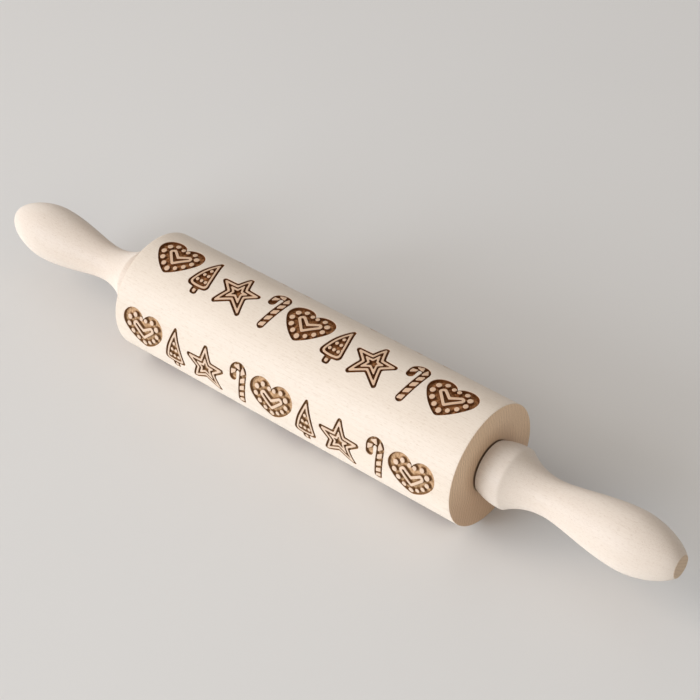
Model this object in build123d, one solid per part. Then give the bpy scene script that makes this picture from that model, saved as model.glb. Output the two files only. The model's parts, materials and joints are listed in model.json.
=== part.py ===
from build123d import *
import math
import os

# An engraved rolling pin: a beech roller that turns on a steel axle between two turned handles.
# All lengths are in millimetres. X runs along the pin and Z is up. The pin lies on the plane Z = 0,
# with its origin under the middle of the roller. Left is -X, and the front is -Y.

# Roller
roller_diameter = 60.0
roller_length = 204.0
axle_clearance = 0.5

# Axle, held fast in both handles
axle_diameter = 8.0
axle_seat_depth = 42.0
axle_bevel = 0.8

# Bushes, pressed into the roller's ends
bush_clearance = 0.05
bush_wall = 2.5
bush_length = 16.0

# Thrust washers between the bushes and the handles
washer_diameter = 18.0
washer_thickness = 0.6
washer_clearance = 0.1
end_float = 0.15

# Handles, each turned from one piece and left in narrow flats, a tenth of a millimetre off the curve
handle_length = 98.0
collar_length = 13.4
collar_face_diameter = 25.2
collar_diameter = 30.4
collar_bulge_distance = 6.7
crease_diameter = 29.8
neck_diameter = 17.8
neck_distance = 32.4
grip_diameter = 28.4
grip_distance = 73.5
tip_diameter = 10.8
tip_slope_angle = 47.0
blind_hole_spare = 2.0
round_flat_count = 28
collar_flat_count = 3
hollow_flat_count = 3
swell_flat_count = 4
crown_flat_count = 4
# How far the handle's curve keeps its direction at the ends of its hollow, swell and crown
hollow_hold_share = 0.45
neck_hold_share = 0.24
grip_hold_share = 0.38
crown_hold_share = 0.32
tip_hold_share = 0.30

# Engraving: rows of motifs, spaced evenly along and round the roller but for one wider gap,
# where the pattern closes. Angles are from straight up, and grow towards the front.
engraving_depth = 1.5
row_count = 5
first_row_angle = 9.5
closing_gap_angle = 81.0
motif_count = 9
motif_pitch = 20.48
first_motif_distance = 18.67
motif_rise = 11.5
cutter_overrun = 2.0

# Heart, with a smaller raised heart in it
heart_width = 25.8
heart_height = 20.8
raised_heart_width = 13.0
raised_heart_height = 9.6
raised_heart_drop = 5.6
lobe_share = 0.266

# Tree
tree_width = 12.6
tree_height = 20.0
tree_border = 1.3
trunk_width = 4.1
trunk_length = 3.4

# Star
star_radius = 12.8
star_waist_radius = 6.0

# Cane
cane_height = 23.6
cane_thickness = 4.2
hook_radius = 3.1
hook_angle = 205.0

# Worked out from the sizes above
roller_radius = roller_diameter / 2
half_length = roller_length / 2
floor_radius = roller_radius - engraving_depth
axle_radius = axle_diameter / 2
bush_radius = axle_radius + bush_clearance + bush_wall
handle_start = half_length + end_float + washer_thickness
row_pitch_angle = (360 - closing_gap_angle) / (row_count - 1)


def turned(corners):
    """A solid turned about X, from the corners of its half section."""
    return revolve(make_face(Polyline(*corners, close=True)), Axis.X)


def lobe_arc(radius, start, sweep, steps):
    """Points on an arc about zero. Angles are in radians."""
    angles = [start + sweep * step / steps for step in range(steps + 1)]
    return [(radius * math.cos(angle), radius * math.sin(angle)) for angle in angles]


def drawn_in(outline, reach, inset):
    """An outline whose sides all lie at one reach from zero, drawn in on every side by the inset."""
    share = 1 - inset / reach
    return [(share * x, share * y) for x, y in outline]


def heart_outline(width, height, steps):
    """The heart from its top down, each half going from the cleft round its lobe to the foot."""
    lobe = width * lobe_share
    lobe_x = width / 2 - lobe
    foot_y = lobe - height
    cleft = math.acos(-lobe_x / lobe)
    flank = math.atan2(foot_y, -lobe_x) + math.acos(lobe / math.hypot(lobe_x, foot_y))
    right = [(lobe_x + x, y) for x, y in lobe_arc(lobe, cleft, flank - cleft, steps)]
    left = [(-x, y) for x, y in right[:0:-1]]
    return [(x, y - lobe) for x, y in right + [(0, foot_y)] + left]


def tree_reach():
    """The distance from the tree's middle to each of its three sides."""
    side = math.hypot(tree_height, tree_width / 2)
    return tree_width * tree_height / (tree_width + 2 * side)


def tree_outline():
    """The tree about its middle, without its trunk."""
    foot = -tree_reach()
    return [(tree_width / 2, foot), (0, foot + tree_height), (-tree_width / 2, foot)]


def trunk_outline():
    """The trunk that hangs from the middle of the tree's foot."""
    top = -tree_reach()
    end = top - trunk_length
    half = trunk_width / 2
    return [(-half, top), (-half, end), (half, end), (half, top)]


def star_outline():
    """The star about its middle, one point up."""
    corners = []
    for corner in range(10):
        angle = math.pi / 2 + corner * math.pi / 5
        radius = star_waist_radius if corner % 2 else star_radius
        corners.append((radius * math.cos(angle), radius * math.sin(angle)))
    return corners


def cane_outline(steps):
    """The cane from its top down, with a stem on the right and a hook that turns over to the left."""
    half = cane_thickness / 2
    hook_y = -hook_radius - half
    turn = math.radians(hook_angle)
    outer = lobe_arc(hook_radius + half, 0, turn, steps)
    inner = lobe_arc(hook_radius - half, turn, -turn, steps)
    hook = [(x, hook_y + y) for x, y in outer + inner]
    return hook + [(hook_radius - half, -cane_height), (hook_radius + half, -cane_height)]


def region(outline, x, y):
    """An outline at its place in the row, as it looks from above once it is bent round the roller."""
    bent = [(x + px, roller_radius * math.sin((y + py) / roller_radius)) for px, py in outline]
    return make_face(Polyline(*bent, close=True))


def heart_cut(x):
    """The sunk heart, less the raised one."""
    outside = heart_outline(heart_width, heart_height, 4)
    inside = heart_outline(raised_heart_width, raised_heart_height, 3)
    return region(outside, x, motif_rise) - region(inside, x, motif_rise - raised_heart_drop)


def tree_cut(x):
    """The sunk tree with its trunk, less a smaller raised tree."""
    reach = tree_reach()
    tree = tree_outline()
    middle_y = motif_rise - tree_height + reach
    outside = region(tree + trunk_outline(), x, middle_y)
    return outside - region(drawn_in(tree, reach, tree_border), x, middle_y)


def star_cut(x):
    """The sunk star."""
    return region(star_outline(), x, motif_rise - star_radius)


def cane_cut(x):
    """The sunk cane, with its hook and stem about the middle of its place."""
    return region(cane_outline(4), x, motif_rise)


def row_cutters():
    """What one row of motifs takes away, on the top of a roller that lies along X through zero."""
    core = Rot(0, 90, 0) * Cylinder(floor_radius, roller_length)
    drawings = [heart_cut, tree_cut, star_cut, cane_cut]
    cutters = []
    for motif in range(motif_count):
        cut = drawings[motif % len(drawings)]
        x = first_motif_distance + motif * motif_pitch - half_length
        block = extrude(cut(x), roller_radius + cutter_overrun, dir=(0, 0, 1))
        cutters += (block - core).solids()
    return cutters


def make_roller():
    """The engraved barrel, bored for the axle and wider at each end for a bush."""
    barrel = Rot(0, 90, 0) * Cylinder(roller_radius, roller_length)
    row = row_cutters()
    cutters = []
    for step in range(row_count):
        turn = Rot(first_row_angle - step * row_pitch_angle, 0, 0)
        cutters += [turn * cutter for cutter in row]
    barrel = barrel.cut(*cutters)
    bush_seat = half_length - bush_length
    right = [
        (bush_seat, axle_radius + axle_clearance),
        (bush_seat, bush_radius),
        (half_length, bush_radius),
        (half_length, 0),
    ]
    left = [(-x, r) for x, r in right[::-1]]
    return barrel - turned(left + right)


def make_bush():
    """The right-hand bush, flush with the roller's end."""
    bore = axle_radius + bush_clearance
    seat = half_length - bush_length
    return turned([(seat, bore), (seat, bush_radius), (half_length, bush_radius), (half_length, bore)])


def make_washer():
    """The right-hand washer, flat against the handle's collar."""
    bore = axle_radius + washer_clearance
    rim = washer_diameter / 2
    face = handle_start - washer_thickness
    return turned([(face, bore), (face, rim), (handle_start, rim), (handle_start, bore)])


def make_axle():
    """One steel rod from handle to handle."""
    end = handle_start + axle_seat_depth
    right = [(end - axle_bevel, axle_radius), (end, axle_radius - axle_bevel), (end, 0)]
    left = [(-x, r) for x, r in right[::-1]]
    return turned(left + right)


def handle_curves():
    """The handle's outline from its collar to its tip, each curve with its number of flats."""
    face = (0, collar_face_diameter / 2)
    bulge = (collar_bulge_distance, collar_diameter / 2)
    crease = (collar_length, crease_diameter / 2)
    neck = (neck_distance, neck_diameter / 2)
    grip = (grip_distance, grip_diameter / 2)
    tip = (handle_length, tip_diameter / 2)
    swell = grip_distance - neck_distance
    crown = handle_length - grip_distance
    slope = math.radians(tip_slope_angle)
    hollow = (collar_length + hollow_hold_share * (neck_distance - collar_length), neck[1])
    neck_hold = (neck[0] + neck_hold_share * swell, neck[1])
    grip_hold = (grip[0] - grip_hold_share * swell, grip[1])
    crown_hold = (grip[0] + crown_hold_share * crown, grip[1])
    tip_hold_length = tip_hold_share * crown
    tip_hold = (tip[0] - tip_hold_length * math.cos(slope), tip[1] + tip_hold_length * math.sin(slope))
    return [
        (ThreePointArc(face, bulge, crease), collar_flat_count),
        (Bezier(crease, hollow, neck), hollow_flat_count),
        (Bezier(neck, neck_hold, grip_hold, grip), swell_flat_count),
        (Bezier(grip, crown_hold, tip_hold, tip), crown_flat_count),
    ]


def handle_stations():
    """Distances along the handle with the radius there, from the collar's face to the tip."""
    curves = handle_curves()
    first_curve, _ = curves[0]
    stations = [first_curve @ 0]
    for curve, flats in curves:
        stations += [curve @ (flat / flats) for flat in range(1, flats + 1)]
    return [(station.X, station.Y) for station in stations]


def flatted(stations, sides):
    """A closed solid about X whose many-sided rings have the stations' radii."""
    rings = []
    for x, radius in stations:
        ring = [(x, y, z) for y, z in lobe_arc(radius, 0, math.tau, sides)[:-1]]
        rings.append([Vector(*corner) for corner in ring])
    faces = [Face(Wire.make_polygon(ring, close=True)) for ring in (rings[0], rings[-1])]
    for near, far in zip(rings, rings[1:]):
        for side in range(sides):
            after = (side + 1) % sides
            corners = [near[side], near[after], far[after], far[side]]
            faces.append(Face(Wire.make_polygon(corners, close=True)))
    return Solid(Shell(faces))


def make_handle():
    """The right-hand handle, with a blind hole that holds the axle."""
    body = flatted(handle_stations(), round_flat_count)
    hole_end = axle_seat_depth + blind_hole_spare
    hole = turned([(0, 0), (0, axle_radius), (hole_end, axle_radius), (hole_end, 0)])
    return Pos(handle_start, 0, 0) * (body - hole)


def save(name, part):
    """Writes one part, lifted so that the roller lies on Z = 0."""
    export_step(Pos(0, 0, roller_radius) * part, os.path.join("parts", name + ".step"))


os.makedirs("parts", exist_ok=True)
save("roller", make_roller())
save("axle", make_axle())
for name, part in (("bush", make_bush()), ("washer", make_washer()), ("handle", make_handle())):
    save(name + "_right", part)
    save(name + "_left", mirror(part, Plane.YZ))
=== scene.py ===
# %% [markdown]
# # An engraved rolling pin
#
# A baker rolls this pin over biscuit dough, and the hearts, trees, stars and canes that are cut into its
# beech roller come out raised on the dough. The roller turns on a steel axle between two turned handles.
# The frame holds the pieces at their real size. This file gives them their looks: it cuts the fine
# carving, rounds the handles, and paints bare and burnt wood, steel and nylon.

# %% Load the frame
import json
import math

import bmesh
import bpy
import numpy as np
from mathutils import Matrix, Vector
from mathutils.geometry import delaunay_2d_cdt

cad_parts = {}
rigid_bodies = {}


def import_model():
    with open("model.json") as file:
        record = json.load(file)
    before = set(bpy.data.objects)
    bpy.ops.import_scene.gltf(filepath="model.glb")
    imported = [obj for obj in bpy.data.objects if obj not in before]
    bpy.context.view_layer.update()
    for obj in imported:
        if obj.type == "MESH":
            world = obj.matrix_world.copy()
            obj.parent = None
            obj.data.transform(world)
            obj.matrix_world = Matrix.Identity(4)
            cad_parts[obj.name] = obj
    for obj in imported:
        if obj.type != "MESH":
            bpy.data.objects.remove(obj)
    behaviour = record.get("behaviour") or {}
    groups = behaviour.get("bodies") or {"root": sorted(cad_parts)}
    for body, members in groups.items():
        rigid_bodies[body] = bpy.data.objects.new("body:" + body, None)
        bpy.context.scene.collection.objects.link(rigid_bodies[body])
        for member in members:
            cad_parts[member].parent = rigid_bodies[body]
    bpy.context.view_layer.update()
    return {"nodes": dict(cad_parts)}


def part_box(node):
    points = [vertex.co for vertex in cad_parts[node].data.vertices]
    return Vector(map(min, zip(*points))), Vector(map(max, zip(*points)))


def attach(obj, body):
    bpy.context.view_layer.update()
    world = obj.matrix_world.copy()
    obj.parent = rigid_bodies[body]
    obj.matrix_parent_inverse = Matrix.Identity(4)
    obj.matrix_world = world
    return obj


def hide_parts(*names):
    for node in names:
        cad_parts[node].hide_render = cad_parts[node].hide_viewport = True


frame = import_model()
MM = 0.001

# %% [markdown]
# ## Sizes that the frame gives
#
# The roller's box gives its length, its radius and the height of its axis. The handles start at their
# collars' faces. Reading them keeps the looks in step with the solids. Lengths below are in millimetres.

# %% Measure the frame
roller_low, roller_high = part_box("roller")
roller_length = (roller_high.x - roller_low.x) / MM
roller_radius = (roller_high.z - roller_low.z) / 2 / MM
half_length = roller_length / 2
handle_low, handle_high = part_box("handle_right")
handle_start = handle_low.x / MM
handle_length = (handle_high.x - handle_low.x) / MM
bush_low, bush_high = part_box("bush_right")
bush_radius = (bush_high.z - bush_low.z) / 2 / MM
bush_length = (bush_high.x - bush_low.x) / MM
axle_low, axle_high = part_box("axle")
axle_radius = (axle_high.z - axle_low.z) / 2 / MM
print(f"roller {roller_length:.1f} x {2 * roller_radius:.1f} mm, handle {handle_length:.1f} mm")

# %% [markdown]
# ## Drawing the four motifs
#
# A laser burns each motif into the barrel. What it burns is sunk and brown, and what it leaves stays
# raised and pale. So a motif is a list of outlines, each of which either sinks or raises all that lies
# inside it, and a later one goes over an earlier one, as paint would. The outlines come from a few sizes
# each: arcs for the heart's lobes, rounded corners for the tree and the star, and a broad stroke along a
# hooked line for the cane.

# %% Outline helpers
outline_step = 0.5
smallest_radius = 0.3


def arc(middle, radius, start, sweep):
    """Points on an arc, from one end to the other. Angles are in radians."""
    count = max(2, math.ceil(abs(sweep) * radius / outline_step))
    angles = [start + sweep * step / count for step in range(count + 1)]
    return [(middle[0] + radius * math.cos(a), middle[1] + radius * math.sin(a)) for a in angles]


def filled_in(corners):
    """The outline with points added along its straight runs."""
    points = []
    for (ax, ay), (bx, by) in zip(corners, corners[1:] + corners[:1]):
        count = max(1, math.ceil(math.hypot(bx - ax, by - ay) / outline_step))
        points += [(ax + (bx - ax) * step / count, ay + (by - ay) * step / count) for step in range(count)]
    return points


def rounded(corners, radii):
    """The outline with each corner rounded to its radius."""
    points = []
    for index, (corner, radius) in enumerate(zip(corners, radii)):
        here = Vector(corner)
        before = (Vector(corners[index - 1]) - here).normalized()
        after = (Vector(corners[(index + 1) % len(corners)]) - here).normalized()
        half = before.angle(after) / 2
        middle = here + (before + after).normalized() * radius / math.sin(half)
        first = here + before * radius / math.tan(half) - middle
        last = here + after * radius / math.tan(half) - middle
        start = math.atan2(first.y, first.x)
        sweep = (math.atan2(last.y, last.x) - start + math.pi) % math.tau - math.pi
        points += arc(middle, radius, start, sweep)
    return filled_in(points)


def drawn_in(corners, inset):
    """Corners, counter-clockwise, with every side moved in by the inset."""
    moved_in = []
    for index, corner in enumerate(corners):
        here = Vector(corner)
        before = (here - Vector(corners[index - 1])).normalized()
        after = (Vector(corners[(index + 1) % len(corners)]) - here).normalized()
        inward = Vector((-before.y - after.y, before.x + after.x))
        moved_in.append(tuple(here + inward * inset / (1 + before.dot(after))))
    return moved_in


def mirrored(corners):
    """Corners on the right-hand side, with the same ones on the left after them."""
    return corners + [(-x, y) for x, y in corners[::-1] if x > 0]


def moved(outline, x, y):
    return [(px + x, py + y) for px, py in outline]


def dot(x, y, diameter):
    return arc((x, y), diameter / 2, 0, math.tau)[:-1]


motifs = {}


def keep_motif(name, shapes):
    motifs[name] = shapes
    print(name, len(shapes), "outlines")


def lengths_along(points):
    """How far along a line each of its points lies."""
    return np.concatenate([[0], np.cumsum(np.hypot(*np.diff(points, axis=0).T))])


def spaced(outline, count):
    """Points spread evenly along a closed outline, from its first point."""
    points = np.array(outline + outline[:1])
    along = lengths_along(points)
    marks = np.arange(count) / count * along[-1]
    return list(zip(np.interp(marks, along, points[:, 0]), np.interp(marks, along, points[:, 1])))


# %% [markdown]
# The heart is sunk all over, with a raised V-shaped ring in its middle and a row of raised drops round
# its edge, like icing on gingerbread. Its outline is made of arcs that run on into each other, two lobes,
# two full flanks and a blunt foot, because a heart made of rounded corners looks like a shield.

# %% Heart
motif_rise = 11.2
heart_size = (25.8, 20.7)
heart_lobe_share = 0.266
flank_angle = math.radians(-33)
foot_radius = 2.4
icing_size = (18.6, 14.6)
icing_lobe_share = 0.272
icing_foot_radius = 1.0
icing_drop = 3.2
icing_diameters = (2.7, 2.45, 2.6, 2.65, 2.7, 2.5, 2.2, 2.15, 2.45, 2.75, 2.45, 2.35, 2.25)
ring_corners = [(0.3, -4.0), (7.7, 3.2), (5.5, 5.5), (0.3, 2.1), (-4.5, 5.6), (-7.0, 3.0)]
ring_radii = (1.0, 1.5, 1.5, 0.7, 1.5, 1.5)
hollow_radii = (0.4, 0.6, 0.6, 0.5, 0.6, 0.6)
ring_width = 1.3


def heart_outline(width, height, lobe_share, foot_radius):
    """A heart whose top is at zero, from its cleft round by the right lobe and the foot."""
    lobe = width * lobe_share
    lobe_middle = Vector((width / 2 - lobe, 0))
    cleft = math.acos(-lobe_middle.x / lobe)
    out = Vector((math.cos(flank_angle), math.sin(flank_angle)))
    apart = lobe_middle - Vector((0, lobe - height))
    flank = (apart + lobe * out).length_squared / (2 * (apart.dot(out) + lobe))
    flank_middle = lobe_middle + (lobe - flank) * out
    foot_y = flank_middle.y - math.sqrt((flank - foot_radius) ** 2 - flank_middle.x**2)
    turn = math.atan2(foot_y - flank_middle.y, -flank_middle.x)
    right = arc(lobe_middle, lobe, cleft, flank_angle - cleft)
    right += arc(flank_middle, flank, flank_angle, turn - flank_angle)[1:]
    foot = arc((0, foot_y), foot_radius, turn, -math.pi - 2 * turn)[1:-1]
    left = [(-x, y) for x, y in right[::-1]]
    return moved(filled_in(right + foot + left[:-1]), 0, -lobe)


def from_foot(outline):
    """The same outline, but starting at its lowest point."""
    lowest = min(range(len(outline)), key=lambda index: outline[index][1])
    return outline[lowest:] + outline[:lowest]


def draw_heart():
    outside = moved(heart_outline(*heart_size, heart_lobe_share, foot_radius), 0, motif_rise)
    ring = rounded(ring_corners, ring_radii)
    hollow = rounded(drawn_in(ring_corners, ring_width), hollow_radii)
    icing = heart_outline(*icing_size, icing_lobe_share, icing_foot_radius)
    icing = moved(from_foot(icing), 0, motif_rise - icing_drop)
    drops = zip(spaced(icing, len(icing_diameters)), icing_diameters)
    dots = [dot(x, y, diameter) for (x, y), diameter in drops]
    return [(outside, True), (ring, False), (hollow, True)] + [(spot, False) for spot in dots]


keep_motif("heart", draw_heart())

# %% [markdown]
# The fir tree is a tall triangle with full sides: a sunk line round a raised band, and inside it a sunk
# field with six raised baubles. Its trunk is a stub with a raised core. The band and the field are the same
# corners drawn in, so the lines keep their width all the way round.

# %% Tree
tree_corners = mirrored([(0, -0.9), (6.85, 0), (4.6, 9.2), (0, 21.5)])
tree_radii = (20.0, 2.3, 45.0, 0.9, 45.0, 2.3)
tree_foot_y = -8.0
tree_line = 1.1
tree_band = 0.95
trunk_size = (4.0, 4.0)
trunk_top = 1.0
trunk_radius = 1.4
trunk_core_size = (1.7, 3.0)
trunk_core_top = -1.2
trunk_core_radius = 0.7
bauble_diameter = 1.75
bauble_pitch = 2.5
bauble_rows = ((11.4, 1), (7.8, 2), (4.0, 3))


def draw_tree():
    shapes = [(moved(rounded(tree_corners, tree_radii), 0, tree_foot_y), True)]
    for (width, drop), top, radius, sunk in (
        (trunk_size, trunk_top, trunk_radius, True),
        (trunk_core_size, trunk_core_top, trunk_core_radius, False),
    ):
        half = width / 2
        stub = [(half, top), (-half, top), (-half, -drop), (half, -drop)]
        radii = (smallest_radius, smallest_radius, radius, radius)
        shapes.append((moved(rounded(stub, radii), 0, tree_foot_y), sunk))
    for inset, sunk in ((tree_line, False), (tree_line + tree_band, True)):
        radii = [max(smallest_radius, radius - inset / 2) for radius in tree_radii]
        shapes.append((moved(rounded(drawn_in(tree_corners, inset), radii), 0, tree_foot_y), sunk))
    for row_y, count in bauble_rows:
        for place in range(count):
            x = (place - (count - 1) / 2) * bauble_pitch
            shapes.append((dot(x, tree_foot_y + row_y, bauble_diameter), False))
    return shapes


keep_motif("tree", draw_tree())

# %% [markdown]
# The star's points are listed one by one: they differ a little in length and direction. Four smaller
# stars, each drawn in further, make the rings inside it.

# %% Star
star_middle = (-0.45, -0.8)
star_points = ((16.1, 14.8), (93.0, 14.8), (161.8, 14.6), (229.3, 15.6), (308.6, 16.6))
star_waists = ((50.0, 6.1), (126.0, 6.0), (196.0, 6.3), (271.0, 6.0), (347.0, 6.8))
star_insets = (0, 1.05, 2.05, 3.05, 3.95)
star_point_radius = 1.35
star_waist_radius = 0.9
star_rounding_loss = 0.8


def draw_star():
    corners = []
    for spots in zip(star_points, star_waists):
        corners += [(r * math.cos(math.radians(a)), r * math.sin(math.radians(a))) for a, r in spots]
    shapes = []
    for ring, inset in enumerate(star_insets):
        point_radius = max(smallest_radius, star_point_radius - star_rounding_loss * inset)
        radii = [point_radius, star_waist_radius] * len(star_points)
        outline = rounded(drawn_in(corners, inset), radii)
        shapes.append((moved(outline, *star_middle), ring % 2 == 0))
    return shapes


keep_motif("star", draw_star())

# %% [markdown]
# The cane is a broad sunk stroke along a slightly curved stem that turns over into a hook. Raised slanting
# blocks along it are the light stripes, and the sunk wood between them makes the dark ones.

# %% Cane
cane_rise = 12.0
cane_height = 23.7
cane_width = 4.2
cane_lean = 1.75
hook_radius = 3.05
hook_x = -0.15
hook_sweep = math.radians(185)
hook_tail = 2.8
block_width = 2.6
block_pitch = 4.3
block_length = 2.6
block_slant = 1.8
block_start = 0.3
block_foot_reach = 1.2


def cane_line():
    """The middle of the cane from its foot to the hook's end, with the direction to its right."""
    bend_y = cane_rise - cane_width / 2 - hook_radius
    stem_length = cane_height - cane_width - hook_radius
    line = []
    for step in range(math.ceil(stem_length / outline_step)):
        down = 1 - step * outline_step / stem_length
        turn = math.atan(-2 * cane_lean * down / stem_length)
        x = hook_x + hook_radius - cane_lean * down**2
        line.append(((x, bend_y - stem_length * down), (math.cos(turn), math.sin(turn))))
    for x, y in arc((0, 0), hook_radius, 0, hook_sweep):
        line.append(((hook_x + x, bend_y + y), (x / hook_radius, y / hook_radius)))
    (x, y), (rx, ry) = line[-1]
    steps = math.ceil(hook_tail / outline_step)
    tail = [hook_tail * (step + 1) / steps for step in range(steps)]
    return line + [((x - ry * reach, y + rx * reach), (rx, ry)) for reach in tail]


def beside(line, offset):
    return [(x + offset * rx, y + offset * ry) for (x, y), (rx, ry) in line]


def stroke(line, width):
    """A closed outline of one width along a line, with round ends."""
    (foot, _), (end, (rx, ry)) = line[0], line[-1]
    far = arc(end, width / 2, math.atan2(ry, rx), math.pi)[1:-1]
    near = arc(foot, width / 2, math.pi, math.pi)[1:-1]
    return filled_in(beside(line, width / 2) + far + beside(line, -width / 2)[::-1] + near)


def draw_cane():
    line = cane_line()
    shapes = [(stroke(line, cane_width), True)]
    # The blocks are measured from below the foot, so that the first one reaches into its round end.
    (x, y), (rx, ry) = line[0]
    line.insert(0, ((x + ry * block_foot_reach, y - rx * block_foot_reach), (rx, ry)))
    along = lengths_along(np.array([place for place, _ in line]))
    sides = [np.array(beside(line, side * block_width / 2)) for side in (1, -1)]

    def at(side, mark):
        return tuple(float(np.interp(mark, along, sides[side][:, axis])) for axis in (0, 1))

    for mark in np.arange(block_start, along[-1] - block_length, block_pitch):
        right, left = mark + block_slant / 2, mark - block_slant / 2
        corners = [at(0, right), at(0, right + block_length), at(1, left + block_length), at(1, left)]
        shapes.append((rounded(corners, [smallest_radius] * len(corners)), False))
    return shapes


keep_motif("cane", draw_cane())

# %% [markdown]
# ## Flat cells of carving
#
# The barrel's skin is first made flat, as a set of rectangular cells, one for each motif and plain ones
# for the bands at the ends. A constrained Delaunay mesh fills each cell: it keeps every outline as an
# edge, so each triangle is either wholly raised or wholly sunk. Where a raised triangle meets a sunk one
# there is a wall, with a small bevel at its top and a slight slope, as a laser leaves it. This gives clean
# walls with few triangles, where displacing a fine grid would leave them ragged. Each point also carries
# two numbers for the paint: toast, where the laser has passed, and soot, along the walls.

# %% Fill a cell with triangles
skin_step = 1.25
outline_clearance = 0.45
same_point_distance = 1e-4


def inside(outline, points):
    """Which points lie inside the outline, by counting the sides that a ray crosses."""
    x, y = points[:, 0], points[:, 1]
    found = np.zeros(len(points), bool)
    for (ax, ay), (bx, by) in zip(outline, outline[1:] + outline[:1]):
        if ay != by:
            found ^= ((ay > y) != (by > y)) & (x < (bx - ax) * (y - ay) / (by - ay) + ax)
    return found


def skin_grid(x_from, x_to, half_height, steps, outlines):
    """Points that spread the cell's triangles evenly, but for those too near to an outline."""
    across = np.linspace(x_from, x_to, max(2, round((x_to - x_from) / skin_step)) + 1)
    up = np.linspace(-half_height, half_height, steps + 1)
    grid = np.array([(x, y) for x in across for y in up])
    edge = np.isin(grid[:, 0], (x_from, x_to)) | (np.abs(grid[:, 1]) == half_height)
    if outlines:
        drawn = np.concatenate([np.array(outline) for outline in outlines])
        near = np.array([np.hypot(*(drawn - point).T).min() < outline_clearance for point in grid])
        grid = grid[edge | ~near]
    return grid


def flat_triangles(grid, outlines):
    """Points and triangles of a flat mesh that has the grid's points and every outline's sides."""
    points = [Vector(point) for point in grid]
    sides = []
    for outline in outlines:
        first = len(points)
        points += [Vector(point) for point in outline]
        sides += [(first + i, first + (i + 1) % len(outline)) for i in range(len(outline))]
    flat, _, faces, _, _, _ = delaunay_2d_cdt(points, sides, [], 0, same_point_distance, False)
    return np.array(flat), np.array(faces)


# %% Find the walls
def wall_sides(faces, sunk):
    """Pairs of points, each a side with a raised triangle on its left and a sunk one on its right."""
    owner = {}
    for index, face in enumerate(faces):
        for start, end in zip(face, np.roll(face, -1)):
            owner[int(start), int(end)] = index
    return [
        (start, end)
        for (start, end), index in owner.items()
        if not sunk[index] and (end, start) in owner and sunk[owner[end, start]]
    ]


def away_from_raised(flat, walls):
    """For each point a direction out of the raised part, or zero where there is no wall."""
    away = np.zeros_like(flat)
    for start, end in walls:
        along = flat[end] - flat[start]
        normal = np.array((along[1], -along[0])) / np.hypot(*along)
        away[start] += normal
        away[end] += normal
    length = np.hypot(*away.T)
    away[length > 0] /= length[length > 0, None]
    return away


# %% Cell maker
engraving_depth = 1.5
rim_bevel = 0.09
wall_slope = 0.16
# How far each level lies out from the raised part and below the skin
levels = {"top": (-rim_bevel, 0), "shoulder": (0, rim_bevel), "floor": (wall_slope, engraving_depth)}


def flat_cell(name, x_from, x_to, half_height, steps, shapes):
    """One cell of the barrel's skin, flat, with its motif about zero. Sunk faces lie below."""
    outlines = [outline for outline, _ in shapes]
    flat, faces = flat_triangles(skin_grid(x_from, x_to, half_height, steps, outlines), outlines)
    middles = sum(flat[faces[:, corner]] for corner in range(3)) / 3
    sunk = np.zeros(len(faces), bool)
    toasted = np.zeros(len(faces), bool)
    for outline, sinks in shapes:
        within = inside(outline, middles)
        sunk[within] = sinks
        toasted |= within
    walls = wall_sides(faces, sunk)
    away = away_from_raised(flat, walls)

    verts, toast, soot, made = [], [], [], {}

    def vertex(index, level, is_toasted):
        key = (int(index), level)
        if key not in made:
            shift, depth = levels[level]
            x, y = flat[index] + away[index] * shift
            made[key] = len(verts)
            verts.append((x * MM, y * MM, -depth * MM))
            toast.append(float(is_toasted))
            soot.append(float(away[index].any()))
        return made[key]

    mesh_faces = []
    for face, is_sunk, is_toasted in zip(faces, sunk, toasted):
        mesh_faces.append([vertex(index, "floor" if is_sunk else "top", is_toasted) for index in face])
    for start, end in walls:
        top = [vertex(index, "top", False) for index in (end, start)]
        shoulder = [vertex(index, "shoulder", True) for index in (start, end)]
        floor = [vertex(index, "floor", True) for index in (start, end)]
        mesh_faces += [top + shoulder, shoulder[::-1] + floor]
    mesh = bpy.data.meshes.new(name)
    mesh.from_pydata(verts, [], mesh_faces)
    for attribute, values in (("toast", toast), ("soot", soot)):
        mesh.attributes.new(attribute, "FLOAT", "POINT").data.foreach_set("value", values)
    print(name, len(mesh_faces), "faces")
    return bpy.data.objects.new(name, mesh)


# %% [markdown]
# ## The cells of one row
#
# A row runs heart, tree, star, cane, and so on to a ninth motif, another heart. The motifs are evenly
# spaced but not equally wide, so the cells meet halfway between neighbours. Each cell also has a plain
# strip of the same width, for the wider gap between two of the rows.

# %% Cell sizes
motif_pitch = 20.48
first_motif_distance = 18.67
motif_count = 9
row_count = 5
row_pitch_angle = 69.75
end_ease = 0.4

motif_reaches = []
for shapes in motifs.values():
    xs = [x for outline, _ in shapes for x, _ in outline]
    motif_reaches.append((min(xs), max(xs)))
cell_ranges = []
for index, (reach_left, reach_right) in enumerate(motif_reaches):
    _, right_of_last = motif_reaches[index - 1]
    left_of_next, _ = motif_reaches[(index + 1) % len(motif_reaches)]
    x_from = (reach_left + right_of_last - motif_pitch) / 2
    cell_ranges.append((x_from, (reach_right + left_of_next + motif_pitch) / 2))

first_from, first_to = cell_ranges[0]
row_start = first_motif_distance + first_from
row_end = first_motif_distance + (motif_count - 1) * motif_pitch + first_to
cell_ranges.append((end_ease - half_length, row_start - half_length))
cell_ranges.append((row_end - half_length, half_length - end_ease))
cell_names = list(motifs) + ["band_left", "band_right"]
gap_angle = 360 - row_count * row_pitch_angle
row_half_height = math.radians(row_pitch_angle) * roller_radius / 2
gap_half_height = math.radians(gap_angle) * roller_radius / 2
print("cell widths in mm", [round(x_to - x_from, 1) for x_from, x_to in cell_ranges])

# %% Make the cells
row_steps = 30
gap_steps = 5
cell_collection = bpy.data.collections.new("barrel_cells")


def cell_name(number, part):
    return f"cell_{number}_{part}_{cell_names[number]}"


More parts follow.
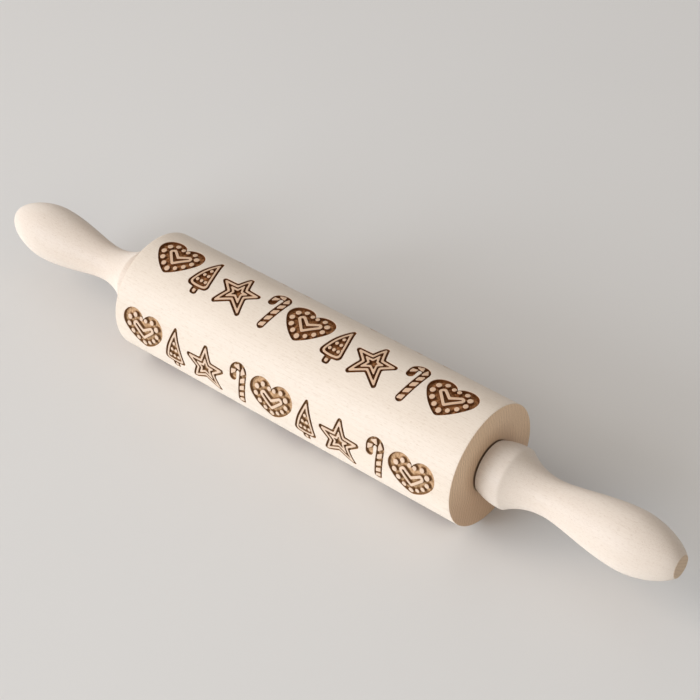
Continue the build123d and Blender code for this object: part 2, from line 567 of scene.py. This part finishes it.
for number, (x_from, x_to) in enumerate(cell_ranges):
    shapes = motifs.get(cell_names[number], [])
    for part, half_height, steps, drawing in (
        ("row", row_half_height, row_steps, shapes),
        ("gap", gap_half_height, gap_steps, []),
    ):
        cell = flat_cell(cell_name(number, part), x_from, x_to, half_height, steps, drawing)
        cell_collection.objects.link(cell)
# Geometry Nodes count a collection's objects in the order of their names.
cell_order = sorted(cell.name for cell in cell_collection.objects)

# %% [markdown]
# ## Wrapping the skin round the barrel
#
# Geometry Nodes lay the cells out and bend them. Each point of a small layout mesh holds one cell's place
# on the flat skin and the number of the cell that goes there. The tree puts the cells on the points,
# turns them into one mesh, bends that round the barrel's axis and welds the cells' edges. A change of the
# layout or the radius then needs no new carving.

# %% Node helpers
def node(tree, kind, inputs=None, **settings):
    """Adds a node, sets what it has, and gives its input sockets values or links."""
    new = tree.nodes.new(kind)
    for key, value in settings.items():
        setattr(new, key, value)
    for key, value in (inputs or {}).items():
        if isinstance(value, bpy.types.NodeSocket):
            tree.links.new(value, new.inputs[key])
        else:
            new.inputs[key].default_value = value
    return new


def math_node(tree, operation, *values):
    inputs = dict(enumerate(values))
    return node(tree, "ShaderNodeMath", inputs, operation=operation).outputs[0]


def times(tree, first, second):
    return math_node(tree, "MULTIPLY", first, second)


def scaled(tree, value, factor, added):
    return math_node(tree, "MULTIPLY_ADD", value, factor, added)


def between(tree, value, low, high):
    """A smooth step from 0 at the low value to 1 at the high one."""
    inputs = {"Value": value, "From Min": low, "From Max": high}
    return node(tree, "ShaderNodeMapRange", inputs, interpolation_type="SMOOTHSTEP").outputs[0]


def over_mm(tree, value, low, high):
    """The same step, between two lengths in millimetres."""
    return between(tree, value, low * MM, high * MM)


def mixed(tree, share, first, second):
    return node(tree, "ShaderNodeMix", {0: share, 6: first, 7: second}, data_type="RGBA").outputs[2]


def vector_math(tree, operation, *values):
    return node(tree, "ShaderNodeVectorMath", dict(enumerate(values)), operation=operation).outputs


def noise(tree, place, scale, detail=2.0):
    """Noise whose scale is one number, or three for noise that is stretched."""
    if isinstance(scale, tuple):
        place, scale = vector_math(tree, "MULTIPLY", place, scale)[0], 1.0
    return node(tree, "ShaderNodeTexNoise", {"Vector": place, "Scale": scale, "Detail": detail}).outputs[0]


def new_group(name, kind, inputs, outputs):
    """A node tree with named sockets, and what its input node gives."""
    tree = bpy.data.node_groups.new(name, kind)
    for in_out, sockets in (("INPUT", inputs), ("OUTPUT", outputs)):
        for socket, type_name in sockets.items():
            tree.interface.new_socket(socket, in_out=in_out, socket_type="NodeSocket" + type_name)
    return tree, node(tree, "NodeGroupInput").outputs


# %% Wrapping tree
def wrapping_tree():
    inputs = {"Layout": "Geometry", "Cells": "Collection", "Material": "Material"}
    inputs |= {"Radius": "Float", "Axis Height": "Float", "Weld Distance": "Float"}
    tree, given = new_group("wrap_round_barrel", "GeometryNodeTree", inputs, {"Skin": "Geometry"})
    picking = {"Collection": given["Cells"], "Separate Children": True, "Reset Children": True}
    cells = node(tree, "GeometryNodeCollectionInfo", picking)
    number = node(tree, "GeometryNodeInputNamedAttribute", {"Name": "cell"}, data_type="INT")
    placing = {"Points": given["Layout"], "Instance": cells.outputs[0]}
    placing |= {"Pick Instance": True, "Instance Index": number.outputs["Attribute"]}
    skin = node(tree, "GeometryNodeInstanceOnPoints", placing)
    place = node(tree, "ShaderNodeSeparateXYZ", {0: node(tree, "GeometryNodeInputPosition").outputs[0]})
    angle = math_node(tree, "DIVIDE", place.outputs["Y"], given["Radius"])
    radius = math_node(tree, "ADD", place.outputs["Z"], given["Radius"])
    bent_y = times(tree, radius, math_node(tree, "SINE", angle))
    bent_z = times(tree, radius, math_node(tree, "COSINE", angle))
    lifted_z = math_node(tree, "ADD", bent_z, given["Axis Height"])
    bent = node(tree, "ShaderNodeCombineXYZ", {"X": place.outputs["X"], "Y": bent_y, "Z": lifted_z})
    for kind, inputs in (
        ("RealizeInstances", {}),
        ("SetPosition", {"Position": bent.outputs[0]}),
        ("MergeByDistance", {"Distance": given["Weld Distance"]}),
        ("SetMaterial", {"Material": given["Material"]}),
    ):
        skin = node(tree, "GeometryNode" + kind, {"Geometry": skin.outputs[0]} | inputs)
    node(tree, "NodeGroupOutput", {0: skin.outputs[0]})
    return tree


# %% Lay the cells out
first_row_angle = -9.5


def layout_mesh():
    places, numbers = [], []

    def put(name, x, y):
        places.append((x * MM, y * MM, 0))
        numbers.append(cell_order.index(name))

    lines = [("row", math.radians(first_row_angle + row * row_pitch_angle)) for row in range(row_count)]
    lines.append(("gap", math.radians(first_row_angle - (row_pitch_angle + gap_angle) / 2)))
    for part, angle in lines:
        y = angle * roller_radius
        for motif in range(motif_count):
            x = first_motif_distance + motif * motif_pitch - half_length
            put(cell_name(motif % len(motifs), part), x, y)
        for number in range(len(motifs), len(cell_names)):
            put(cell_name(number, part), 0, y)
    mesh = bpy.data.meshes.new("barrel_layout")
    mesh.from_pydata(places, [], [])
    mesh.attributes.new("cell", "INT", "POINT").data.foreach_set("value", numbers)
    return mesh


# %% Wrap the skin and keep it as a plain mesh
def add_object(name, data):
    new = bpy.data.objects.new(name, data)
    bpy.context.scene.collection.objects.link(new)
    return new


weld_distance = 0.01
beech_engraved = bpy.data.materials.new("engraved_beech")
wrap_inputs = {
    "Cells": cell_collection,
    "Material": beech_engraved,
    "Radius": roller_radius * MM,
    "Axis Height": roller_radius * MM,
    "Weld Distance": weld_distance * MM,
}
layout = add_object("barrel_layout", layout_mesh())
wrap = layout.modifiers.new("wrap", "NODES")
wrap.node_group = wrapping_tree()
for item in wrap.node_group.interface.items_tree:
    if item.name in wrap_inputs:
        wrap[item.identifier] = wrap_inputs[item.name]
ready = layout.evaluated_get(bpy.context.evaluated_depsgraph_get())
skin = bpy.data.meshes.new_from_object(ready)
skin.name = "carved_roller"
bpy.data.objects.remove(layout)
for cell in list(cell_collection.objects):
    bpy.data.objects.remove(cell)
bpy.data.collections.remove(cell_collection)
print("skin", len(skin.polygons), "faces")

# %% [markdown]
# ## Ends and bore of the roller
#
# The skin is open at both ends. Its edge rings are drawn on, ring by ring: over the eased rim, in across
# the end face, into the seat of the bush and through the bore, until both sides meet in the middle.

# %% Closing outline
bore_clearance = 0.5
ease_steps = 4
face_rings = (29.0, 24.0, 18.0, 12.0)


def closing_profile():
    """(distance from the middle, radius) from the skin's edge to the middle of the bore."""
    ease = []
    for step in range(1, ease_steps + 1):
        angle = math.pi / 2 * step / ease_steps
        x = half_length - end_ease + end_ease * math.sin(angle)
        ease.append((x, roller_radius - end_ease + end_ease * math.cos(angle)))
    face = [(half_length, radius) for radius in face_rings + (bush_radius,)]
    seat = half_length - bush_length
    bore = axle_radius + bore_clearance
    return ease + face + [(seat, bush_radius), (seat, bore), (0, bore)]


# %% Close the roller
end_tolerance = 0.001
seam_distance = 0.002
sharp_angle = math.radians(32)


def close_roller(mesh):
    bm = bmesh.new()
    bm.from_mesh(mesh)
    for side in (-1, 1):
        end = side * (half_length - end_ease) * MM
        open_edges = [edge for edge in bm.edges if edge.is_boundary]
        near = end_tolerance * MM
        ring = [edge for edge in open_edges if all(abs(vert.co.x - end) < near for vert in edge.verts)]
        for x, radius in closing_profile():
            drawn = bmesh.ops.extrude_edge_only(bm, edges=ring)["geom"]
            for vert in (part for part in drawn if isinstance(part, bmesh.types.BMVert)):
                out = Vector((0, vert.co.y, vert.co.z - roller_radius * MM)).normalized() * radius * MM
                vert.co = (side * x * MM, out.y, out.z + roller_radius * MM)
            ring = [part for part in drawn if isinstance(part, bmesh.types.BMEdge)]
    bmesh.ops.remove_doubles(bm, verts=bm.verts, dist=seam_distance * MM)
    bmesh.ops.recalc_face_normals(bm, faces=bm.faces)
    print("open edges", sum(edge.is_boundary for edge in bm.edges))
    bm.to_mesh(mesh)
    bm.free()


def finish_mesh(mesh):
    """Smooth faces, with an edge kept sharp where it turns by more than the sharp angle."""
    mesh.polygons.foreach_set("use_smooth", [True] * len(mesh.polygons))
    mesh.set_sharp_from_angle(angle=sharp_angle)
    mesh.update()


close_roller(skin)
finish_mesh(skin)
carved_roller = add_object("carved_roller", skin)
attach(carved_roller, "roller")
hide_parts("roller")
print("roller", sum(len(face.vertices) - 2 for face in skin.polygons), "triangles")

# %% [markdown]
# ## Turned handles
#
# Each handle is one piece off a lathe: a collar with a crisp edge, a hollow neck, a swelling grip and a
# small flat tip. Its outline is an arc and three Bezier curves. The sizes are the solid's, but for a collar
# that bulges a little less, which makes the crease crisper. Turning the outline about the axis gives the
# whole piece, with the blind hole that holds the axle.

# %% Curves for the handle
collar_length = 13.4
collar_face_radius = 12.6
collar_radius = 14.6
collar_bulge_distance = 6.7
crease_radius = 14.9
neck_radius = 8.9
neck_distance = 32.4
grip_radius = 14.2
grip_distance = 73.5
tip_radius = 5.4
tip_slope = math.radians(47)


def bezier(points, steps):
    """Points along a Bezier curve, without its first."""
    last = len(points) - 1
    curve = []
    for step in range(1, steps + 1):
        t = step / steps
        weights = [math.comb(last, k) * t**k * (1 - t) ** (last - k) for k in range(last + 1)]
        curve.append(tuple(sum(w * p[axis] for w, p in zip(weights, points)) for axis in (0, 1)))
    return curve


def collar_curve(steps):
    """The collar's round edge, an arc through its face, its bulge and its crease."""
    ax, ay = 0.0, collar_face_radius
    bx, by = collar_bulge_distance, collar_radius
    cx, cy = collar_length, crease_radius
    divisor = 2 * (ax * (by - cy) + bx * (cy - ay) + cx * (ay - by))
    a2, b2, c2 = ax * ax + ay * ay, bx * bx + by * by, cx * cx + cy * cy
    x = (a2 * (by - cy) + b2 * (cy - ay) + c2 * (ay - by)) / divisor
    y = (a2 * (cx - bx) + b2 * (ax - cx) + c2 * (bx - ax)) / divisor
    radius = math.hypot(ax - x, ay - y)
    start, end = math.atan2(ay - y, ax - x), math.atan2(cy - y, cx - x)
    angles = [start + (end - start) * step / steps for step in range(1, steps + 1)]
    return [(x + radius * math.cos(a), y + radius * math.sin(a)) for a in angles]


# %% Handle outline
blind_hole_spare = 2.0
face_ring_radius = 8.0
tip_ring_radius = 3.0
# How far each curve keeps its direction at its ends, as a share of its length
hollow_hold = 0.45
neck_hold = 0.24
grip_hold = 0.38
crown_hold = 0.32
tip_hold = 0.30
collar_steps, hollow_steps, swell_steps, crown_steps = 14, 22, 26, 26


def handle_profile():
    """(distance from the collar's face, radius) from the blind hole's end round to the tip's middle."""
    hole_end = axle_high.x / MM - handle_start + blind_hole_spare
    crease = (collar_length, crease_radius)
    neck = (neck_distance, neck_radius)
    grip = (grip_distance, grip_radius)
    tip = (handle_length, tip_radius)
    hollow = (collar_length + hollow_hold * (neck_distance - collar_length), neck_radius)
    swell = grip_distance - neck_distance
    after_neck = (neck_distance + neck_hold * swell, neck_radius)
    before_grip = (grip_distance - grip_hold * swell, grip_radius)
    crown = handle_length - grip_distance
    after_grip = (grip_distance + crown_hold * crown, grip_radius)
    held = tip_hold * crown
    before_tip = (handle_length - held * math.cos(tip_slope), tip_radius + held * math.sin(tip_slope))
    profile = [(hole_end, 0), (hole_end, axle_radius), (0, axle_radius), (0, face_ring_radius)]
    profile += [(0, collar_face_radius)] + collar_curve(collar_steps)
    profile += bezier([crease, hollow, neck], hollow_steps)
    profile += bezier([neck, after_neck, before_grip, grip], swell_steps)
    profile += bezier([grip, after_grip, before_tip, tip], crown_steps)
    return profile + [(handle_length, tip_ring_radius), (handle_length, 0)]


print("handle outline", len(handle_profile()), "points")

# %% Turn the handles
turning_steps = 112


def turned(name, profile, steps):
    """A closed mesh turned about the pin's axis from an outline that starts and ends on it."""
    bm = bmesh.new()
    rings = []
    for x, radius in profile:
        count = steps if radius > 0 else 1
        ring = []
        for step in range(count):
            angle = math.tau * step / steps
            y, z = radius * math.cos(angle), radius * math.sin(angle) + roller_radius
            ring.append(bm.verts.new((x * MM, y * MM, z * MM)))
        rings.append(ring)
    for near, far in zip(rings, rings[1:]):
        for step in range(steps):
            corners = [near[step % len(near)], near[(step + 1) % len(near)]]
            corners += [far[(step + 1) % len(far)], far[step % len(far)]]
            bm.faces.new(list(dict.fromkeys(corners)))
    bmesh.ops.recalc_face_normals(bm, faces=bm.faces)
    mesh = bpy.data.meshes.new(name)
    bm.to_mesh(mesh)
    bm.free()
    finish_mesh(mesh)
    return mesh


handle_wood = bpy.data.materials.new("turned_beech")
for side, sign in (("left", -1), ("right", 1)):
    outline = [(sign * (handle_start + x), radius) for x, radius in handle_profile()]
    name = f"turned_handle_{side}"
    handle = add_object(name, turned(name, outline, turning_steps))
    handle.data.materials.append(handle_wood)
    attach(handle, "spindle")
    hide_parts(f"handle_{side}")
    print(handle.name, len(handle.data.polygons), "faces")

# %% [markdown]
# ## Beech
#
# Beech is pale and even, with short brown flecks along the grain, faint growth rings and fine fibres. All
# of it comes from the place inside the tree, so one shader group works it out from Object coordinates:
# rings about a distant pith, which show as arcs on an end face and as broad soft bands on the side, and
# flecks and fibres from noise that is stretched along the grain.

# %% Beech group
# Scales of noise are along the grain and across it twice. The rings' wavers also have a size.
ring_wavers = (((5.0, 30.0, 30.0), 6.0), ((5.0, 190.0, 190.0), 1.6))
fleck_scale = (480.0, 4000.0, 4000.0)
fibre_scale = (70.0, 4200.0, 4200.0)
cloud_scale = (12.0, 70.0, 70.0)
ring_sharpness = 3.5
fleck_range = (0.56, 0.72)
fibre_share = 0.36
cloud_share = 0.27
fleck_share = 0.28
tone_range = (0.15, 1.05)
fleck_dent = -0.6


def distance_from(tree, place, axis):
    """How far a place is from a line along the grain through the axis's point."""
    apart = vector_math(tree, "SUBTRACT", place, axis)[0]
    across = vector_math(tree, "MULTIPLY", apart, (0.0, 1.0, 1.0))[0]
    return vector_math(tree, "LENGTH", across)["Value"]


def beech_group():
    inputs = {"Place": "Vector", "Pith": "Vector", "Ring Width": "Float", "Ring Strength": "Float"}
    inputs |= {"Light Wood": "Color", "Dark Wood": "Color"}
    outputs = {"Colour": "Color", "Height": "Float", "Late Wood": "Float"}
    tree, given = new_group("beech_grain", "ShaderNodeTree", inputs, outputs)
    place = given["Place"]
    distance = distance_from(tree, place, given["Pith"])
    for scale, size in ring_wavers:
        distance = scaled(tree, noise(tree, place, scale), size * MM, distance)
    phase = math_node(tree, "DIVIDE", distance, given["Ring Width"])
    late = math_node(tree, "POWER", math_node(tree, "FRACT", phase), ring_sharpness)
    flecks = between(tree, noise(tree, place, fleck_scale, 1.0), *fleck_range)
    fibres = noise(tree, place, fibre_scale)
    clouds = noise(tree, place, cloud_scale)
    tone = times(tree, late, given["Ring Strength"])
    for part, share in ((fibres, fibre_share), (clouds, cloud_share), (flecks, fleck_share)):
        tone = scaled(tree, part, share, tone)
    tone = between(tree, tone, *tone_range)
    colour = mixed(tree, tone, given["Light Wood"], given["Dark Wood"])
    height = scaled(tree, flecks, fleck_dent, fibres)
    node(tree, "NodeGroupOutput", {"Colour": colour, "Height": height, "Late Wood": late})
    return tree


beech_grain = beech_group()
print(beech_grain.name, len(beech_grain.nodes), "nodes")

# %% Material helpers
grain_bump = 0.05


def start_material(material):
    """The material's empty node tree, and the place on the object."""
    material.use_nodes = True
    material.node_tree.nodes.clear()
    return material.node_tree, node(material.node_tree, "ShaderNodeTexCoord").outputs["Object"]


def finish_material(material, inputs):
    """Makes the surface, with its inputs by name."""
    tree = material.node_tree
    surface = node(tree, "ShaderNodeBsdfPrincipled", inputs)
    node(tree, "ShaderNodeOutputMaterial", {"Surface": surface.outputs[0]})
    print(material.name, len(tree.nodes), "nodes")


def add_grain(tree, place, wood):
    return node(tree, "ShaderNodeGroup", {"Place": place} | wood, node_tree=beech_grain).outputs


def bump(tree, height, distance):
    """The normal of a surface with bumps, whose distance is in millimetres."""
    return node(tree, "ShaderNodeBump", {"Height": height, "Distance": distance * MM}).outputs[0]


# %% [markdown]
# The handles are bare sanded beech. Their end grain shows at the tip, and painted shade darkens the
# narrow gap between each collar and the roller's end.

# %% Handle wood
handle_grain = {
    "Light Wood": (0.725, 0.627, 0.54, 1.0),
    "Dark Wood": (0.55, 0.42, 0.325, 1.0),
    "Pith": (0.0, 0.16, 0.30),
    "Ring Width": 1.7 * MM,
    "Ring Strength": 0.07,
}
tip_grain = ((0.62, 0.465, 0.325, 1.0), (0.53, 0.385, 0.265, 1.0))
# Painted shade: a dark colour painted in the narrow gap between each collar and the roller's end
gap_shade_colour = (0.16, 0.09, 0.05, 1.0)
tip_depth = 0.3
gap_shade_depth = 0.5
handle_roughness = 0.55


def paint_handles(material):
    tree, place = start_material(material)
    grain = add_grain(tree, place, handle_grain)
    along = math_node(tree, "ABSOLUTE", node(tree, "ShaderNodeSeparateXYZ", {0: place}).outputs["X"])
    tip_end = handle_high.x / MM
    tip = over_mm(tree, along, tip_end - tip_depth, tip_end)
    colour = mixed(tree, tip, grain["Colour"], mixed(tree, grain["Late Wood"], *tip_grain))
    # Painted shade on the handle, next to the gap at the roller's end
    gap_shade = over_mm(tree, along, handle_start + gap_shade_depth, handle_start)
    colour = mixed(tree, gap_shade, colour, gap_shade_colour)
    normal = bump(tree, grain["Height"], grain_bump)
    inputs = {"Base Color": colour, "Diffuse Roughness": 1.0, "Roughness": handle_roughness}
    finish_material(material, inputs | {"Normal": normal})


paint_handles(handle_wood)

# %% [markdown]
# ## Burnt engraving
#
# The laser leaves the floor of the carving brown, its walls darker, and the parts that it spares a little
# toasted. How deep a point lies under the barrel's skin says how burnt it is, and that depth is the
# barrel's radius less the point's distance from the axis. So no painted picture is needed, and the colour
# follows the carving wherever it goes. Painted light makes the burn paler on the front and the back of the
# barrel than on its top and bottom. The end faces show the same wood cut across, as rings, with painted
# shade that makes them browner round the collars and towards the bottom.

# %% End faces of the roller
end_grain = ((0.89, 0.67, 0.465, 1.0), (0.40, 0.24, 0.135, 1.0))
end_smoke_share = 0.25
end_ring_share = 0.7
# Painted shade on the end face: browner round the collar and towards the bottom
shaded_end_wood = (0.46, 0.265, 0.15, 1.0)
end_shade_share = 0.45
collar_shade_radii = (24.0, 13.0)
low_shade_heights = (44.0, 12.0)
# Painted shade in the gap under the collar, the same dark colour as on the handles
gap_shade_radii = (collar_face_radius + 0.6, collar_face_radius - 0.3)


def end_colour(tree, late_wood, smoke, radius, height):
    """End grain with painted shade: browner round the collar and towards the bottom, and dark in the
    collar's gap.
    """
    tone = times(tree, late_wood, end_ring_share)
    tone = scaled(tree, smoke, end_smoke_share, tone)
    # Painted shade round the collar and towards the bottom of the end face
    collar_shade = times(tree, over_mm(tree, radius, *collar_shade_radii), end_shade_share)
    low_shade = times(tree, over_mm(tree, height, *low_shade_heights), end_shade_share)
    brown = math_node(tree, "MAXIMUM", collar_shade, low_shade)
    colour = mixed(tree, brown, mixed(tree, tone, *end_grain), shaded_end_wood)
    return mixed(tree, over_mm(tree, radius, *gap_shade_radii), colour, gap_shade_colour)


# %% Burnt wood
toasted_wood = (0.64, 0.395, 0.225, 1.0)
# Painted light: toast, walls and floors are painted paler on the barrel's front and back; the pale colours
# are for those sides, and the dark ones are for its top and bottom
toast_change = (-0.25, 0.75)
dark_wall = (0.13, 0.038, 0.009, 1.0)
pale_wall = (0.21, 0.098, 0.036, 1.0)
dark_floors = ((0.47, 0.215, 0.09, 1.0), (0.18, 0.065, 0.02, 1.0))
pale_floors = ((0.64, 0.415, 0.24, 1.0), (0.42, 0.245, 0.125, 1.0))
sooty_range = (0.38, 0.66)
soot_spread = 1.6
soot_share = 0.75


def burnt_colour(tree, bare, smoke, lit_side, wall, floor):
    """The bare colour, toasted where the laser passed, charred on walls and brown on floors."""
    toast = node(tree, "ShaderNodeAttribute", attribute_name="toast").outputs["Fac"]
    # Painted light: less toast on the barrel's front and back
    toasting = scaled(tree, lit_side, *toast_change)
    colour = mixed(tree, times(tree, toast, toasting), bare, toasted_wood)
    charred = mixed(tree, lit_side, dark_wall, pale_wall)
    colour = mixed(tree, wall, colour, charred)
    sooty = between(tree, smoke, *sooty_range)
    dark_floor, pale_floor = mixed(tree, sooty, *dark_floors), mixed(tree, sooty, *pale_floors)
    burnt = mixed(tree, lit_side, dark_floor, pale_floor)
    soot = node(tree, "ShaderNodeAttribute", attribute_name="soot").outputs["Fac"]
    soot = times(tree, math_node(tree, "POWER", soot, soot_spread), soot_share)
    return mixed(tree, floor, colour, mixed(tree, soot, burnt, charred))


# %% Engraved wood
roller_grain = {
    "Light Wood": (0.76, 0.658, 0.56, 1.0),
    "Dark Wood": (0.58, 0.455, 0.34, 1.0),
    "Pith": (0.0, 0.16, 0.045),
    "Ring Width": 1.15 * MM,
    "Ring Strength": 0.12,
}
lit_side_range = (0.35, 0.95)
smoke_scale = 900.0
end_depth = 0.35
engraved_reach = 98.0
wall_depths = (0.04, 0.40)
floor_depths = (0.5, 1.40)
# What burning adds to the bare wood's roughness and gloss, and what the bare wood has
roughness_change = (0.25, 0.52)
gloss_change = (-0.45, 0.5)
crust_height = 3.0


def paint_roller(material):
    tree, place = start_material(material)
    grain = add_grain(tree, place, roller_grain)
    radius = distance_from(tree, place, (0.0, 0.0, roller_radius * MM))
    depth = math_node(tree, "SUBTRACT", roller_radius * MM, radius)
    parts = node(tree, "ShaderNodeSeparateXYZ", {0: place}).outputs
    along = math_node(tree, "ABSOLUTE", parts["X"])
    # Painted light: the share of the barrel's front and back, where the burn is painted paler
    sideways = math_node(tree, "DIVIDE", math_node(tree, "ABSOLUTE", parts["Y"]), radius)
    lit_side = between(tree, sideways, *lit_side_range)
    smoke = noise(tree, place, smoke_scale, 3.0)

    end = over_mm(tree, along, half_length - end_depth, half_length)
    end_face = end_colour(tree, grain["Late Wood"], smoke, radius, parts["Z"])
    colour = mixed(tree, end, grain["Colour"], end_face)
    carved = math_node(tree, "LESS_THAN", along, engraved_reach * MM)
    wall = times(tree, over_mm(tree, depth, *wall_depths), carved)
    floor = times(tree, over_mm(tree, depth, *floor_depths), carved)
    colour = burnt_colour(tree, colour, smoke, lit_side, wall, floor)

    roughness = scaled(tree, wall, *roughness_change)
    gloss = scaled(tree, wall, *gloss_change)
    height = scaled(tree, times(tree, smoke, wall), crust_height, grain["Height"])
    inputs = {"Base Color": colour, "Diffuse Roughness": 1.0, "Roughness": roughness}
    inputs |= {"Specular IOR Level": gloss, "Normal": bump(tree, height, grain_bump)}
    finish_material(material, inputs)


paint_roller(beech_engraved)

# %% [markdown]
# ## Steel and nylon
#
# The axle and the washers are drawn steel with fine lines along the axle. The bushes are natural
# nylon, off-white and slightly translucent, with a faint mottling from the mould.

# %% Steel and nylon
steel_tones = ((0.48, 0.48, 0.49, 1.0), (0.68, 0.68, 0.69, 1.0))
nylon_tones = ((0.80, 0.79, 0.73, 1.0), (0.86, 0.85, 0.80, 1.0))
nylon_depths = (0.001, 0.001, 0.0008)
smooth_bump = 0.01


def paint_plain(name, scale, detail, tones, roughness, more_inputs):
    """A new material whose tone, roughness and bumps all follow one noise."""
    material = bpy.data.materials.new(name)
    tree, place = start_material(material)
    pattern = noise(tree, place, scale, detail)
    inputs = {"Base Color": mixed(tree, pattern, *tones), "Roughness": scaled(tree, pattern, *roughness)}
    inputs |= {"Normal": bump(tree, pattern, smooth_bump)}
    finish_material(material, inputs | more_inputs)
    return material


metal = {"Metallic": 1.0}
steel = paint_plain("drawn_steel", (60.0, 5000.0, 5000.0), 3.0, steel_tones, (0.2, 0.25), metal)
nylon_inputs = {"Subsurface Weight": 0.1, "Subsurface Radius": nylon_depths}
nylon = paint_plain("natural_nylon", 600.0, 2.0, nylon_tones, (0.1, 0.4), nylon_inputs)
for name in ("axle", "washer_left", "washer_right", "bush_left", "bush_right"):
    part = frame["nodes"][name]
    part.data.materials.clear()
    part.data.materials.append(nylon if name.startswith("bush") else steel)

# %% [markdown]
# ## Floor, light and camera
#
# The pin lies on a pale satin table top. Daylight comes from the side that the engraving faces: two broad
# cool lamps as from a window, a warmer one from the left and a weak one from the right, and a pale
# surrounding that fills the shadows. The camera stands where the photograph's did, found from the roller's
# outline: about 0.93 m away, 38 degrees up, with a lens of about 101 mm.

# %% Floor
floor_tones = ((0.69, 0.66, 0.633, 1.0), (0.73, 0.70, 0.672, 1.0))
floor_cloud_scale = 3.0
floor_roughness = 0.42
floor_half = 4.0


def paint_floor(material):
    tree, place = start_material(material)
    colour = mixed(tree, noise(tree, place, floor_cloud_scale), *floor_tones)
    finish_material(material, {"Base Color": colour, "Roughness": floor_roughness})


floor_mesh = bpy.data.meshes.new("table_top")
floor_corners = [(x * floor_half, y * floor_half, 0) for x, y in ((-1, -1), (1, -1), (1, 1), (-1, 1))]
floor_mesh.from_pydata(floor_corners, [], [(0, 1, 2, 3)])
table_top = add_object("table_top", floor_mesh)
table_material = bpy.data.materials.new("table_top")
paint_floor(table_material)
floor_mesh.materials.append(table_material)

# %% Light
lamp_target = (0, 0, 0.03)


def pointed(place, target):
    """A matrix at a place, looking at a target."""
    turn = (Vector(target) - Vector(place)).to_track_quat("-Z", "Y")
    return Matrix.Translation(place) @ turn.to_matrix().to_4x4()


def add_lamp(name, place, size, watts, colour):
    lamp = bpy.data.lights.new(name, "AREA")
    lamp.shape = "DISK"
    lamp.size = size
    lamp.energy = watts
    lamp.color = colour
    add_object(name, lamp).matrix_world = pointed(place, lamp_target)
    print(name, watts, "W")


add_lamp("window_lamp", (-2.4, -3.0, 1.4), 2.4, 95.0, (0.88, 0.93, 1.0))
add_lamp("low_lamp", (-1.2, -3.6, 0.95), 1.7, 98.0, (0.80, 0.905, 1.0))
add_lamp("left_lamp", (-2.6, -1.6, 2.1), 1.7, 34.0, (1.0, 0.92, 0.84))
add_lamp("right_lamp", (1.8, -2.6, 2.2), 2.0, 16.0, (1.0, 1.0, 0.88))
world = bpy.data.worlds.new("room")
bpy.context.scene.world = world
world.use_nodes = True
background = world.node_tree.nodes["Background"]
background.inputs["Color"].default_value = (1.0, 0.985, 0.97, 1.0)
background.inputs["Strength"].default_value = 0.445

# %% Camera
camera_place = Vector((467.8, -535.0, 607.4)) * MM
camera_azimuth = math.radians(39.86)
camera_elevation = math.radians(38.45)
camera_focal_pixels = 1956.0
picture_pixels = 700

camera_data = bpy.data.cameras.new("camera")
camera_data.sensor_width = 36.0
camera_data.lens = camera_focal_pixels / picture_pixels * camera_data.sensor_width
camera = add_object("camera", camera_data)
forward = Vector((-math.sin(camera_azimuth), math.cos(camera_azimuth), -math.tan(camera_elevation)))
camera.matrix_world = pointed(camera_place, camera_place + forward)
bpy.context.scene.camera = camera
bpy.context.scene.view_settings.view_transform = "Standard"
print(f"camera {camera_place.length:.2f} m away, lens {camera_data.lens:.0f} mm")
